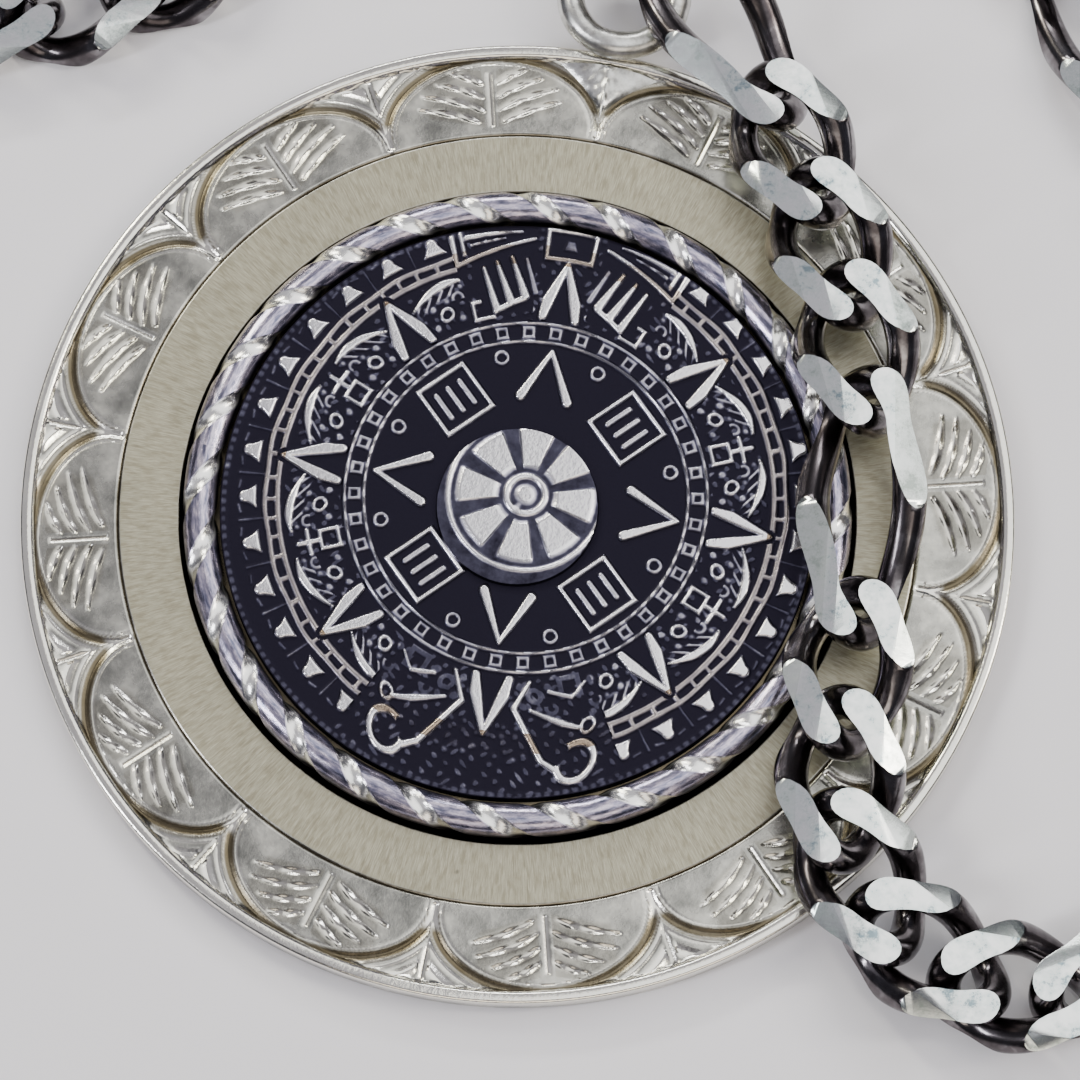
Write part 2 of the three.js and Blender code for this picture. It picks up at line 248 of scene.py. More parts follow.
def math_node(material, operation, a, b=0.0, c=0.0):
    """The result of a Math node on numbers or outputs."""
    made = node(material, "Math", {"operation": operation})
    for socket, value in zip(made.inputs, (a, b, c)):
        if isinstance(value, bpy.types.NodeSocket):
            material.node_tree.links.new(value, socket)
        else:
            socket.default_value = value
    return made.outputs[0]


# Engraved sterling: tarnish has stayed in the cuts and left the ground between them warm grey, with
# bright flanks that catch the light; the satined field is beige with fine radial brush marks. Just outside the
# bezel a ring is painted near-black as its shadow.
engraved, shader = shaded("engraved_sterling_silver", roughness=0.3)
place = node(engraved, "TexCoord").outputs["Object"]
parts = node(engraved, "SeparateXYZ", links={"Vector": place}).outputs
turn = math_node(engraved, "ARCTAN2", parts["Y"], parts["X"])
x_squared = math_node(engraved, "MULTIPLY", parts["X"], parts["X"])
y_squared = math_node(engraved, "MULTIPLY", parts["Y"], parts["Y"])
out = math_node(engraved, "SQRT", math_node(engraved, "ADD", x_squared, y_squared))
# brush marks 0.08 mm wide and about 1 mm long, running in and out from the middle
polar = node(engraved, "CombineXYZ", links={"X": math_node(engraved, "MULTIPLY", turn, 330.0),
                                            "Y": math_node(engraved, "MULTIPLY", out, 900.0)}).outputs[0]
brush = node(engraved, "TexNoise", links={"Vector": polar},
             Scale=1.0, Detail=3.0, Roughness=0.6).outputs["Fac"]
mottle = node(engraved, "TexNoise", links={"Vector": place},
              Scale=420.0, Detail=4.0, Roughness=0.6).outputs["Fac"]
grain = node(engraved, "TexNoise", links={"Vector": place},
             Scale=2600.0, Detail=3.0, Roughness=0.7).outputs["Fac"]
pits = node(engraved, "TexVoronoi", links={"Vector": place}, Scale=330.0).outputs["Distance"]
satin = node(engraved, "Attribute", {"attribute_name": "satin"}).outputs["Fac"]
ground = colour_ramp(engraved, mottle, [(0.3, "#84847e"), (0.5, "#abaaa2"), (0.68, "#d3d1c6")])
satined = colour_ramp(engraved, brush, [(0.25, "#85806e"), (0.5, "#a9a590"), (0.75, "#c6c2ae")])
longer = node(engraved, "VectorMath", {"operation": "MULTIPLY"}, {0: polar}, i1=(0.28, 0.9, 1.0)).outputs[0]
strokes = node(engraved, "TexNoise", links={"Vector": longer},
               Scale=1.0, Detail=3.0, Roughness=0.6).outputs["Fac"]
worn = node(engraved, "MapRange", links={"Value": strokes}, i1=0.48, i2=0.66, i3=0.0, i4=0.6).outputs[0]
satined = blend_colour(engraved, worn, satined, linear("#7f7862"))
satined = blend_colour(engraved, math_node(engraved, "MULTIPLY", mottle, 0.35), satined, linear("#b3ad98"))
specks = node(engraved, "MapRange", links={"Value": pits}, i1=0.02, i2=0.07, i3=0.8, i4=0.0).outputs[0]
patches = node(engraved, "MapRange", links={"Value": mottle}, i1=0.55, i2=0.62).outputs[0]
specks = math_node(engraved, "MULTIPLY", specks, patches)
satined = blend_colour(engraved, specks, satined, linear("#3c372c"))
metal_colour = blend_colour(engraved, satin, ground, satined)
bright = node(engraved, "Attribute", {"attribute_name": "bright"}).outputs["Fac"]
metal_colour = blend_colour(engraved, bright, metal_colour, linear("#f4f1e6"))
dirt = node(engraved, "Attribute", {"attribute_name": "dirt"}).outputs["Fac"]
tarnish = node(engraved, "MapRange", links={"Value": dirt}, i1=0.2, i2=0.9, i3=0.0, i4=0.85).outputs[0]
metal_colour = blend_colour(engraved, tarnish, metal_colour, linear("#52462a"))
# values above 1.1 are the painted shadow beside the bezel, turned near-black
black = node(engraved, "MapRange", links={"Value": dirt}, i1=1.1, i2=1.6, i3=0.0, i4=1.0).outputs[0]
metal_colour = blend_colour(engraved, black, metal_colour, linear("#0b090b"))
engraved.node_tree.links.new(metal_colour, shader.inputs["Base Color"])
rough = math_node(engraved, "ADD", math_node(engraved, "MULTIPLY", satin, 0.16),
                  math_node(engraved, "MULTIPLY_ADD", mottle, 0.16, 0.19))
rough = math_node(engraved, "SUBTRACT", rough, math_node(engraved, "MULTIPLY", bright, 0.12))
engraved.node_tree.links.new(rough, shader.inputs["Roughness"])
fine = blend_colour(engraved, satin, grain, brush)
bump = node(engraved, "Bump", links={"Height": fine}, Strength=0.22, Distance=0.00006)
engraved.node_tree.links.new(bump.outputs["Normal"], shader.inputs["Normal"])
plate.data.materials.append(engraved)

# ---- calendar disc ------------------------------------------------------------------------------
# A thinner disc struck with a sun-stone calendar, darkened with liver of sulphur and rubbed bright
# on the relief. It drops in behind the bezel. The very middle is a plain rosette.
disc_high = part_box("calendar_disc")[1]
DISC_R = disc_high.x / MM
GROUND_Z = 2.55
RELIEF = 0.26
RELIEF_STEP = 0.085
DIE_X, DIE_Y, DIE_TURN = 0.4, 0.9, np.radians(1.3)
HUB_R, HUB_FOOT, HUB_RISE = 5.45, 1.25, 0.75


def wall(distance, flank=0.09):
    """1 inside a shape, 0 outside, with a narrow flank."""
    return np.clip(0.5 - distance / (2 * flank), 0.0, 1.0)


def outline(distance, half_width):
    """Signed distance to a line of that half width along a shape's edge."""
    return np.abs(distance) - half_width


def bar(x, y, start, end, start_half, end_half):
    """Signed distance to a straight bar that may taper."""
    dx, dy = end[0] - start[0], end[1] - start[1]
    t = np.clip(((x - start[0]) * dx + (y - start[1]) * dy) / (dx * dx + dy * dy), 0, 1)
    return np.hypot(x - start[0] - t * dx, y - start[1] - t * dy) - (start_half + (end_half - start_half) * t)


def spaced(angle, step):
    """Angle from the nearest of the directions that lie step apart, zero included."""
    return np.remainder(angle + step / 2, step) - step / 2


def struck(disc_r, disc_angle):
    """Height of the struck relief, 0 to 1. The die was set a little off the disc's middle."""
    px, py = disc_r * np.cos(disc_angle) - DIE_X, disc_r * np.sin(disc_angle) - DIE_Y
    r, angle = np.hypot(px, py), np.arctan2(py, px) - DIE_TURN
    h = 0.3 * wall(np.abs(disc_r - 19.75) - 0.2) * (0.3 + 0.7 * np.abs(np.sin(disc_angle * 100)))
    top, foot = spaced(angle - np.pi / 2, 2 * np.pi), spaced(angle + np.pi / 2, 2 * np.pi)
    plain = (np.abs(top) > np.radians(26.5)) & (np.abs(foot) > np.radians(29))
    # ring of little bells between thin bars, every 10 degrees
    step = np.radians(10)
    u = spaced(angle, step) * r
    between = bar(np.abs(u), r, (1.62, 17.7), (1.7, 19.3), 0.12, 0.09)
    h = np.maximum(h, 0.45 * wall(between) * plain)
    flare = 0.34 + 0.44 * np.clip((19.05 - r) / 0.9, 0, 1) ** 1.4
    bell = np.maximum(np.abs(u) - flare, np.abs(r - 18.6) - 0.5)
    bell = np.minimum(bell, np.hypot(u, r - 18.85) - 0.42)
    h = np.maximum(h, 0.95 * wall(bell) * plain)
    h = np.maximum(h, 0.4 * wall(bar(np.abs(u), r, (0.6, 19.3), (1.1, 19.2), 0.08, 0.08)) * plain)
    # ladder ring, worn and uneven
    v = spaced(angle + 0.013 * np.sin(angle * 11), np.radians(5)) * r
    rails = np.minimum(outline(r - 17.5 - 0.06 * np.sin(angle * 23), 0.18), outline(r - 16.7, 0.2))
    rungs = np.maximum(np.abs(v) - 0.16, np.abs(r - 17.1) - 0.45)
    h = np.maximum(h, 0.62 * wall(np.minimum(rails, rungs)) * plain)
    # between the rays: a feather on each side, then a bracket, rings and grains
    eighth = np.radians(45)
    w = (np.remainder(angle, eighth) - eighth / 2) * r
    side = np.abs(w)
    crest = 15.95 - 0.11 * (side - 2.3) ** 2 - 0.12 * (side - 2.3)
    thick = 0.3 * np.clip(1.35 - np.abs(side - 2.9) / 1.9, 0.1, 1)
    quill = np.maximum(np.abs(r - crest) - thick, np.abs(side - 2.9) - 2.0)
    h = np.maximum(h, 0.9 * wall(quill) * plain)
    tick = np.maximum(np.abs(spaced(side + 0.7 * (r - 15), 0.72)) - 0.12, np.abs(r - crest + 0.55) - 0.4)
    h = np.maximum(h, 0.55 * wall(np.maximum(tick, np.abs(side - 3.0) - 1.5)) * plain)
    stem = bar(w, r, (0.0, 15.6), (0.0, 14.2), 0.17, 0.17)
    stem = np.minimum(stem, bar(w, r, (-0.85, 14.9), (0.85, 14.9), 0.16, 0.16))
    h = np.maximum(h, 0.75 * wall(stem) * plain)
    square = outline(np.maximum(side, np.abs(r - 13.45)) - 0.62, 0.14)
    h = np.maximum(h, 0.8 * wall(square))
    h = np.maximum(h, 0.72 * wall(outline(np.hypot(side - 2.45, r - 13.85) - 0.42, 0.13)))
    h = np.maximum(h, 0.5 * wall(outline(np.hypot(side - 1.5, r - 14.75) - 0.35, 0.12)) * (r > 14.6))
    for x, y, size, high in ((3.35, 14.55, 0.24, 0.5), (1.45, 13.3, 0.26, 0.45), (3.3, 13.2, 0.26, 0.5),
                             (2.3, 14.75, 0.2, 0.4), (1.2, 15.5, 0.2, 0.45), (4.1, 13.9, 0.2, 0.4)):
        h = np.maximum(h, high * wall(np.hypot(side - x, r - y) - size, 0.12))
    lumps = np.sin(5.1 * px + 1.7 * np.sin(2.3 * py)) * np.sin(4.7 * py + 1.3 * np.sin(1.9 * px))
    h = np.maximum(h, 0.3 * ramp(lumps, 0.35, 0.75) * ((r < 16.2) | ~plain))
    # eight rays, each a V that points outwards, its legs swelling to drops
    ray = np.abs(spaced(angle, eighth)) * r
    leg = bar(ray, r, (0.0, 16.6), (0.92, 13.9), 0.17, 0.42)
    leg = np.minimum(leg, bar(ray, r, (0.92, 13.9), (1.12, 12.75), 0.42, 0.3))
    h = np.where(bar(ray, r, (0.0, 16.5), (0.0, 12.9), 0.5, 1.75) < 0, 0.0, h)
    h = np.maximum(h, wall(leg))
    # the date square at the top, with a pointed bar and four strokes on each side
    x, y, area = np.abs(top * r), r, np.abs(top) < np.radians(26.5)
    h = np.where(area & (x > 1.95 + 0.1 * (y - 14.4)) & (x < 6.2 + 0.35 * (y - 16)) & (y > 13.0), 0.0, h)
    frame_line = outline(np.maximum(x - 1.62 - 0.06 * (y - 18), np.abs(y - 17.95) - 1.02), 0.15)
    h = np.where(area & (x < 1.9) & (y > 16.75), 0.0, h)
    h = np.maximum(h, 0.85 * wall(frame_line) * area)
    tiny = np.maximum(x - 0.25 - 0.3 * (18.3 - y), np.abs(y - 17.95) - 0.35)
    h = np.maximum(h, 0.4 * wall(tiny) * area)
    wedge = bar(x, y, (7.6, 16.95), (2.55, 18.25), 0.2, 0.13)
    for start, end, start_half, end_half in (((7.75, 16.95), (8.5, 19.0), 0.2, 0.2),
                                             ((7.3, 17.6), (7.9, 19.1), 0.14, 0.14),
                                             ((7.4, 18.75), (3.5, 18.75), 0.2, 0.08),
                                             ((6.9, 18.15), (4.6, 18.35), 0.1, 0.06)):
        wedge = np.minimum(wedge, bar(x, y, start, end, start_half, end_half))
    h = np.maximum(h, 0.8 * wall(wedge) * area)
    for start, end, foot_half, high in (((2.85, 16.8), (1.85, 14.4), 0.2, 0.5),
                                        ((3.9, 16.95), (2.5, 14.1), 0.29, 0.95),
                                        ((4.9, 16.7), (3.4, 13.7), 0.29, 0.95),
                                        ((5.75, 16.4), (4.3, 13.3), 0.27, 0.9)):
        h = np.maximum(h, high * wall(bar(x, y, start, end, 0.12, foot_half)) * area)
    h = np.maximum(h, 0.85 * wall(bar(x, y, (2.5, 14.0), (4.2, 13.3), 0.22, 0.22)) * area)
    # two curled snouts that face each other at the foot
    x, y, area = np.abs(foot * r), r, np.abs(foot) < np.radians(29)
    h = np.where(area & (x > 1.35) & (y > 12.7), np.minimum(h, 0.3), h)
    neck = bar(x, y, (2.5, 12.9), (1.75, 14.7), 0.15, 0.2)
    neck = np.minimum(neck, bar(x, y, (1.75, 14.7), (4.2, 18.3), 0.2, 0.2))
    gap = 0.75 - np.hypot(x - 5.2, y - 17.9)
    curl = np.maximum(outline(np.hypot(x - 6.5, y - 18.55) - 1.25, 0.24), gap)
    curl = np.minimum(curl, bar(x, y, (4.2, 18.3), (5.3, 19.0), 0.2, 0.22))
    jaw = bar(x, y, (2.9, 14.8), (5.3, 15.9), 0.12, 0.22)
    jaw = np.minimum(jaw, bar(x, y, (5.3, 15.9), (6.6, 16.4), 0.2, 0.15))
    jaw = np.minimum(jaw, outline(np.hypot(x - 7.0, y - 16.3) - 0.45, 0.13))
    brow = bar(x, y, (3.9, 13.6), (5.6, 14.2), 0.14, 0.14)
    brow = np.minimum(brow, bar(x, y, (5.6, 14.2), (6.3, 13.4), 0.14, 0.12))
    h = np.maximum(h, 0.95 * wall(np.minimum(neck, curl)) * area)
    h = np.maximum(h, 0.75 * wall(np.minimum(jaw, brow)) * area)
    for k in range(9):
        grain = np.hypot(x - 0.45 - 0.62 * k, y - 17.5 - 0.8 * ((k * 0.618) % 1)) - 0.19
        h = np.maximum(h, 0.35 * wall(grain, 0.12) * area * (x < 4.0))
        grain = np.hypot(x - 0.4 - 0.9 * (k % 4), y - 16.6 + 0.6 * (k // 4)) - 0.2
        h = np.maximum(h, 0.3 * wall(grain, 0.12) * area * (x < 2.4 + (y - 14.7) * 0.5))
    # inner band of squares, four panels with bars, four pointers and a rosette
    h = np.where(r < 12.45, 0.0, h)
    h = np.maximum(h, 0.7 * wall(np.minimum(outline(r - 12.2, 0.11), outline(r - 10.9, 0.11))))
    t = spaced(angle, np.radians(9)) * r
    h = np.maximum(h, 0.55 * wall(outline(np.maximum(np.abs(t), np.abs(r - 11.55)) - 0.32, 0.12)))
    quarter = np.radians(90)
    q = np.remainder(angle, quarter) - quarter / 2
    x, y = r * np.sin(q), r * np.cos(q)
    panel = outline(np.maximum(np.abs(x), np.abs(y - 8.3)) - 1.8, 0.16)
    h = np.maximum(h, 0.8 * wall(np.maximum(panel, r - 10.7)))
    for dx in (-0.95, 0.0, 0.95):
        h = np.maximum(h, 0.65 * wall(bar(x, y, (dx, 7.4), (dx, 9.2), 0.2, 0.2)))
    p = spaced(angle, quarter)
    x, y = np.abs(r * np.sin(p)), r * np.cos(p)
    h = np.maximum(h, 0.9 * wall(bar(x, y, (0.0, 10.3), (1.6, 6.9), 0.16, 0.34)))
    h = np.maximum(h, 0.6 * wall(outline(np.hypot(x - 3.3, y - 9.3) - 0.42, 0.12)) * (r < 10.8))
    petals = ramp(np.cos(angle * 8), -0.75, -0.3) * wall(np.abs(r - 3.3) - 1.35, 0.2)
    rosette = 0.25 + 0.6 * wall(np.abs(r - 5.25) - 0.15) + 0.7 * petals
    rosette = rosette + 0.65 * wall(outline(r - 1.3, 0.2)) + 0.6 * wall(r - 0.65, 0.2)
    return np.where(disc_r < HUB_R, HUB_FOOT + HUB_RISE * np.clip(rosette, 0, 1), h * (disc_r < 20.2))


radii, heights, reliefs = [], [], []
for r in np.arange(0.3, DISC_R - 0.1, RELIEF_STEP):
    h = struck(r, angles)
    radii.append(r)
    heights.append(GROUND_Z + RELIEF * h)
    reliefs.append(np.where(h > 1.2, (h - HUB_FOOT) / HUB_RISE, h))
for r, z in ((DISC_R - 0.05, GROUND_Z + 0.12), (DISC_R, GROUND_Z),
             (DISC_R, FRONT_Z), (12.0, FRONT_Z), (4.0, FRONT_Z)):
    radii.append(r)
    heights.append(z)
    reliefs.append(0.0)
vertices, faces, layers = round_grid(radii, heights, STEPS, relief=reliefs)
disc = mesh_object("struck_calendar_disc", vertices, faces, 60, **layers)
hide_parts("calendar_disc")
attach(disc, "medallion")

# Oxidised silver: blue-black in the ground, rubbed back to metal on the high places; the ladder
# ring keeps a brown cast.
oxidised, shader = shaded("oxidised_struck_silver", roughness=0.35)
place = node(oxidised, "TexCoord").outputs["Object"]
parts = node(oxidised, "SeparateXYZ", links={"Vector": place}).outputs
x_squared = math_node(oxidised, "POWER", math_node(oxidised, "SUBTRACT", parts["X"], 0.0004), 2.0)
y_squared = math_node(oxidised, "POWER", math_node(oxidised, "SUBTRACT", parts["Y"], 0.0009), 2.0)
out = math_node(oxidised, "SQRT", math_node(oxidised, "ADD", x_squared, y_squared))
relief = node(oxidised, "Attribute", {"attribute_name": "relief"}).outputs["Fac"]
wear = node(oxidised, "TexNoise", links={"Vector": place},
            Scale=700.0, Detail=4.0, Roughness=0.65).outputs["Fac"]
rubbed = math_node(oxidised, "MULTIPLY_ADD", wear, 0.5, math_node(oxidised, "SUBTRACT", relief, 0.3))
metal_colour = colour_ramp(oxidised, rubbed, [(0.1, "#211f2a"), (0.28, "#474656"),
                                              (0.48, "#a3a1ae"), (0.76, "#f4f2f4")])
ladder = math_node(oxidised, "COMPARE", out, 0.0171, 0.0007)
metal_colour = blend_colour(oxidised, math_node(oxidised, "MULTIPLY", ladder, relief), metal_colour,
                            linear("#a08d76"), "MULTIPLY")
oxidised.node_tree.links.new(metal_colour, shader.inputs["Base Color"])
rough = node(oxidised, "MapRange", links={"Value": rubbed}, i1=0.1, i2=0.7, i3=0.55, i4=0.22).outputs[0]
oxidised.node_tree.links.new(rough, shader.inputs["Roughness"])
grit = node(oxidised, "TexNoise", links={"Vector": place},
            Scale=3200.0, Detail=3.0, Roughness=0.7).outputs["Fac"]
bump = node(oxidised, "Bump", links={"Height": grit}, Strength=0.3, Distance=0.00007)
oxidised.node_tree.links.new(bump.outputs["Normal"], shader.inputs["Normal"])
disc.data.materials.append(oxidised)

# ---- rope bezel ---------------------------------------------------------------------------------
# Heavy silver wire with two flats, twisted, bent to a ring and soldered down over the disc's edge.
# The flats are cut bright, and each slanted one is painted white as its flash of highlight.
BEZEL_R, ROPE_R, ROPE_CUTS, ROPE_Z = 21.35, 1.15, 28, 0.6
around_steps, side_steps = ROPE_CUTS * 22, 40
t = np.repeat(np.arange(around_steps) * 2 * np.pi / around_steps, side_steps)
a = np.tile(np.arange(side_steps) * 2 * np.pi / side_steps, around_steps)
wound = a - t * ROPE_CUTS / 2
out = ROPE_R * np.minimum(1.0, 0.85 / np.abs(np.cos(a)).clip(0.01))
r, z = BEZEL_R + out * np.cos(wound), FRONT_Z + ROPE_Z + out * np.sin(wound)
vertices = np.stack([r * np.cos(t), r * np.sin(t), np.maximum(z, FRONT_Z)], 1)
# painted highlight: 1 on the cut flats, which the material paints near-white
cut_flat_highlight = ramp(np.abs(np.cos(a)), 0.82, 0.86)
# painted shade: the rope turns black low down and on its inner side, where it meets plate and disc
grime = np.maximum(ramp(-z, -FRONT_Z - 1.15, -FRONT_Z - 0.75), ramp(-r, -20.5, -20.25))
faces = []
for i in range(around_steps):
    here, there = i * side_steps, (i + 1) % around_steps * side_steps
    faces += [(here + j, here + (j + 1) % side_steps, there + (j + 1) % side_steps, there + j)
              for j in range(side_steps)]
bezel = mesh_object("twisted_bezel", vertices, faces, 14, cut=cut_flat_highlight, grime=grime)
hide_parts("rope_bezel")
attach(bezel, "medallion")

# Bright-cut silver: the mirror flats are painted near-white as their highlight, between rounds painted
# lilac-grey as a reflection of lilac surroundings, with drawn streaks; the two corners are painted black as
# shade.
bright_cut, shader = shaded("bright_cut_silver", roughness=0.2)
place = node(bright_cut, "TexCoord").outputs["Object"]
parts = node(bright_cut, "SeparateXYZ", links={"Vector": place}).outputs
turn = math_node(bright_cut, "ARCTAN2", parts["Y"], parts["X"])
out = node(bright_cut, "VectorMath", {"operation": "LENGTH"}, {"Vector": place}).outputs["Value"]
along = node(bright_cut, "CombineXYZ", links={"X": math_node(bright_cut, "MULTIPLY", turn, 16.0),
                                              "Y": math_node(bright_cut, "MULTIPLY", out, 3200.0)}).outputs[0]
streak = node(bright_cut, "TexNoise", links={"Vector": along},
              Scale=1.0, Detail=4.0, Roughness=0.6).outputs["Fac"]
cut = node(bright_cut, "Attribute", {"attribute_name": "cut"}).outputs["Fac"]
grime_left = node(bright_cut, "Attribute", {"attribute_name": "grime"}).outputs["Fac"]
# painted reflection: the rounds are tinted lilac-grey as the lilac surroundings they reflect, varied by the
# drawn streaks
metal_colour = colour_ramp(bright_cut, streak, [(0.34, "#676a80"), (0.5, "#aaa4b8"), (0.66, "#ddd2e0")])
# painted highlight: the cut flats turn near-white
metal_colour = blend_colour(bright_cut, cut, metal_colour, linear("#f7f6f2"))
# painted shade: black in the corners low on the rope
metal_colour = blend_colour(bright_cut, grime_left, metal_colour, linear("#15121a"))
bright_cut.node_tree.links.new(metal_colour, shader.inputs["Base Color"])
rough = math_node(bright_cut, "MULTIPLY_ADD", streak, 0.24, 0.12)
rough = math_node(bright_cut, "MULTIPLY_ADD", grime_left, 0.3, rough)
bright_cut.node_tree.links.new(rough, shader.inputs["Roughness"])
bump = node(bright_cut, "Bump", links={"Height": streak}, Strength=0.25, Distance=0.0001)
bright_cut.node_tree.links.new(bump.outputs["Normal"], shader.inputs["Normal"])
bezel.data.materials.append(bright_cut)

# ---- bail and its leaf --------------------------------------------------------------------------
# A ring of heavy silver wire soldered flat on the medallion's edge, with a little cast leaf under it.
BAIL_STEPS, BAIL_SIDES = 96, 28
bail_low, bail_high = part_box("bail_ring")
bail_mid = (bail_low + bail_high) / 2 / MM
bail_wire = (bail_high.z - bail_low.z) / 2 / MM
bail_r = (bail_high.x - bail_low.x) / 2 / MM - bail_wire


def closed_wire(middles, outs, ups, radius, swell=lambda share: 1.0):
    """Vertices and faces of a closed round wire through the given middles, thicker by swell."""
    count, sides = len(middles), BAIL_SIDES
    vertices = []
    for i, (m, o, u) in enumerate(zip(middles, outs, ups)):
        thick = radius * swell(i / count)
        for a in (2 * math.pi * j / sides for j in range(sides)):
            vertices.append(m + o * thick * math.cos(a) + u * thick * math.sin(a))
    faces = [(i * sides + j, ((i + 1) % count) * sides + j, ((i + 1) % count) * sides + (j + 1) % sides,
              i * sides + (j + 1) % sides) for i in range(count) for j in range(sides)]
    return vertices, faces


def wire_ring(name, middle, x, y, ring_r, wire_r, swell=lambda share: 1.0):
    """A round ring of wire in the plane of x and y."""
    turns = [2 * math.pi * i / BAIL_STEPS for i in range(BAIL_STEPS)]
    outs = [x * math.cos(t) + y * math.sin(t) for t in turns]
    middles, ups = [middle + o * ring_r for o in outs], [x.cross(y)] * BAIL_STEPS
    return mesh_object(name, *closed_wire(middles, outs, ups, wire_r, swell))


def soldered(share):
    """Thickness of the bail's wire round its length, with a lump of solder near its end."""
    return 0.93 + 0.17 * math.exp(-((share - 0.93) / 0.035) ** 2) + 0.02 * math.sin(share * 44)


bail = wire_ring("bail_wire_ring", bail_mid, Vector((1, 0, 0)), Vector((0, 1, 0)), bail_r, bail_wire, soldered)
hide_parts("bail_ring")
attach(bail, "medallion")

# Cast silver with a soft polish: brighter where it is handled, grey in its pores.
cast, shader = shaded("soft_polished_cast_silver", roughness=0.26)
place = node(cast, "TexCoord").outputs["Object"]
pores = node(cast, "TexNoise", links={"Vector": place},
             Scale=900.0, Detail=5.0, Roughness=0.65).outputs["Fac"]
clouds = node(cast, "TexNoise", links={"Vector": place}, Scale=260.0, Detail=3.0).outputs["Fac"]
metal_colour = colour_ramp(cast, pores, [(0.3, "#8e8c88"), (0.48, "#cfcfca"), (0.7, "#f2f3f0")])
metal_colour = blend_colour(cast, math_node(cast, "MULTIPLY", clouds, 0.3), metal_colour, linear("#a5a196"))
cast.node_tree.links.new(metal_colour, shader.inputs["Base Color"])
rough = node(cast, "MapRange", links={"Value": clouds}, i1=0.3, i2=0.7, i3=0.2, i4=0.36).outputs[0]
cast.node_tree.links.new(rough, shader.inputs["Roughness"])
bump = node(cast, "Bump", links={"Height": pores}, Strength=0.2, Distance=0.00012)
cast.node_tree.links.new(bump.outputs["Normal"], shader.inputs["Normal"])
bail.data.materials.append(cast)

leaf_low, leaf_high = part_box("bail_leaf")
tip_y, wide_y, half_w = leaf_low.y / MM, leaf_high.y / MM, leaf_high.x / MM
rows, columns = 28, 25
vertices, ridge = [], []
for i in range(rows):
    t = i / (rows - 1)
    y = tip_y + (wide_y - 0.15 - tip_y) * t
    half = max(0.02, half_w * (0.12 * t + 0.88 * t ** 2.2))
    for j in range(columns):
        s = 2 * j / (columns - 1) - 1
        vein = 0.1 * math.exp(-(s * half / 0.16) ** 2) + 0.06 * abs(math.sin(3.2 * (y + abs(s) * half * 0.8)))
        crown = (1 - abs(s) ** 3) * min(1.0, 6 * t + 0.2)
        vertices.append((s * half, y + 0.35 * (1 - s * s) * t, FRONT_Z + 0.06 + 0.34 * crown + vein * crown))
top_count = len(vertices)
vertices += [(x, y, FRONT_Z) for x, y, _ in vertices]
faces = [(i * columns + j, i * columns + j + 1, (i + 1) * columns + j + 1, (i + 1) * columns + j)
         for i in range(rows - 1) for j in range(columns - 1)]
faces += [tuple(top_count + v for v in reversed(face)) for face in faces[:(rows - 1) * (columns - 1)]]
loop = (list(range(columns)) + [i * columns + columns - 1 for i in range(1, rows)]
        + [(rows - 1) * columns + j for j in range(columns - 2, -1, -1)]
        + [i * columns for i in range(rows - 2, 0, -1)])
faces += [(a, a + top_count, b + top_count, b) for a, b in zip(loop, loop[1:] + loop[:1])]
leaf = mesh_object("cast_leaf", vertices, faces, 40)
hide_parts("bail_leaf")
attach(leaf, "medallion")
leaf.data.materials.append(cast)

# ---- curb links ---------------------------------------------------------------------------------
# Each link is an oval of 2.4 mm sterling wire, soldered, twisted so that the chain lies flat, and
# ground on both faces with a diamond lap. The ground flats are mirror bright; the round sides keep
# their tarnish. The wire is drawn a hair thin, so that neighbours stay clear.
WIRE, LINK_W, PLAY, LINK_TWIST, FLAT_HALF = 2.4, 8.8, 0.35, math.radians(-50), 1.8
SHORT_PITCH, LONG_PITCH = 7.5, 14.6
DRAWN_THIN = 0.972
SHORT_STEPS, LONG_STEPS, WIRE_SIDES = 84, 104, 24
FLAT_LAP_TILT, FLAT_LAP_FAR = 9.0, 2.0
SHOULDER_TILT, SHORT_SHOULDER, LONG_SHOULDER = 24.0, 0.12, -0.1
LAP_WOBBLE, RIM_BEVEL = 0.015, 0.05


def lying(name):
    """Middle and axes of a CAD node from its solid: the longest way first, the thinnest last."""
    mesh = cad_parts[name].data
    mesh.calc_loop_triangles()
    corners = np.array([v.co for v in mesh.vertices], float) / MM
    t = corners[[tuple(tri.vertices) for tri in mesh.loop_triangles]]
    volume = np.einsum("ij,ij->i", t[:, 0], np.cross(t[:, 1], t[:, 2])) / 6
    middle = (volume[:, None] * t.sum(1) / 4).sum(0) / volume.sum()
    t = t - middle
    volume = np.einsum("ij,ij->i", t[:, 0], np.cross(t[:, 1], t[:, 2])) / 6
    total = t.sum(1)
    spread = (np.einsum("n,ni,nj->ij", volume, total, total) + np.einsum("n,nki,nkj->ij", volume, t, t)) / 20
    sizes, axes = np.linalg.eigh(spread)
    x, z = Vector(axes[:, 2]), Vector(axes[:, 0])
    z = z if z.z > 0 else -z
    return Vector(middle), x, z.cross(x), z


